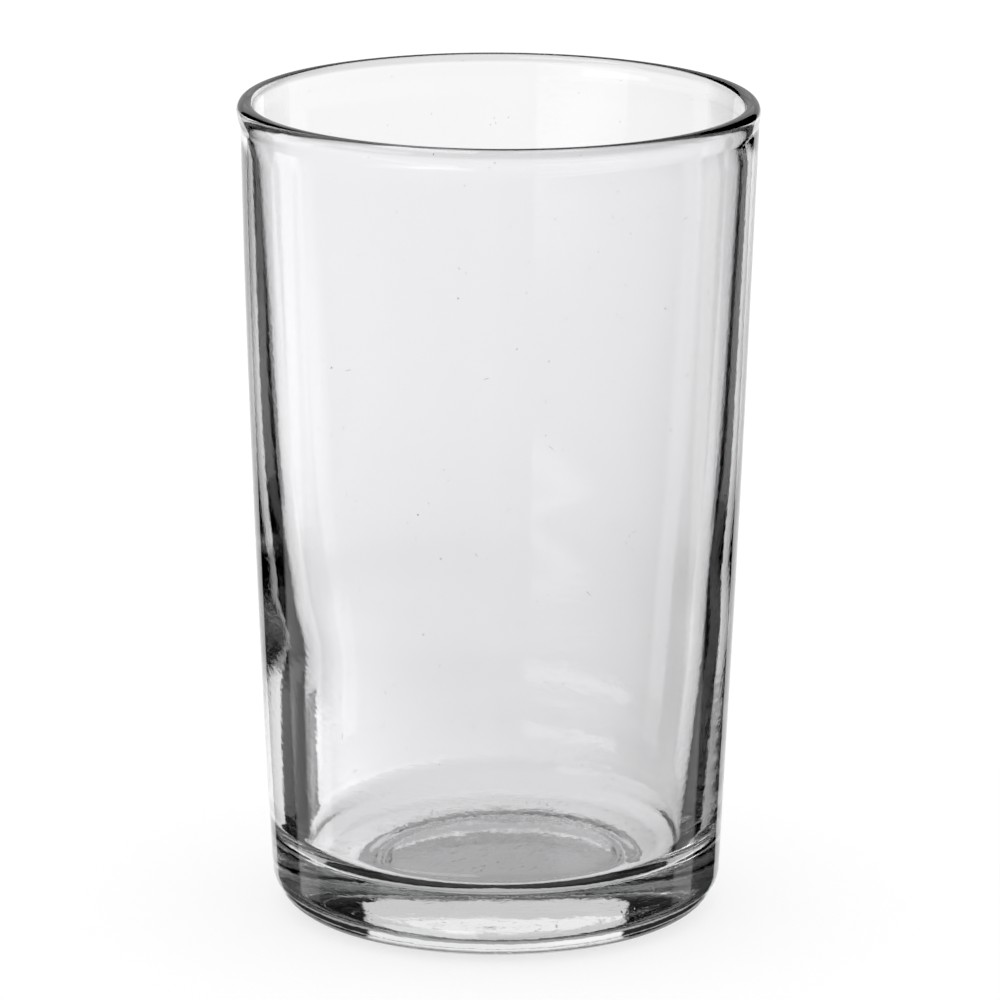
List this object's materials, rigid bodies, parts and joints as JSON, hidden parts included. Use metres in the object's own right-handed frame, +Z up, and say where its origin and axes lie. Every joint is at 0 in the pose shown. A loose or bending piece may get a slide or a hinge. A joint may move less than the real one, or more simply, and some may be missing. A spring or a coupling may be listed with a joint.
{
  "type": "tasting glass",
  "caption": "Small plain tumbler of clear pressed glass: swelling tapered wall, fire-polished lip, round well, heavy rounded base with a domed punt; stands on a flat ring.",
  "frame": {"origin": "centre of the standing ring, on the surface that the glass stands on", "axes": "+Z up along the glass's axis, out of the mouth; X and Y are free, because the glass is round"},
  "size_m": [0.0578, 0.0578, 0.092],
  "materials": {
    "clear_glass": "clear soda-lime glass, fire-polished, with a faint grey-green cast where it is thick"
  },
  "bodies": {
    "root": {"tumbler": "clear_glass"}
  },
  "joints": []
}
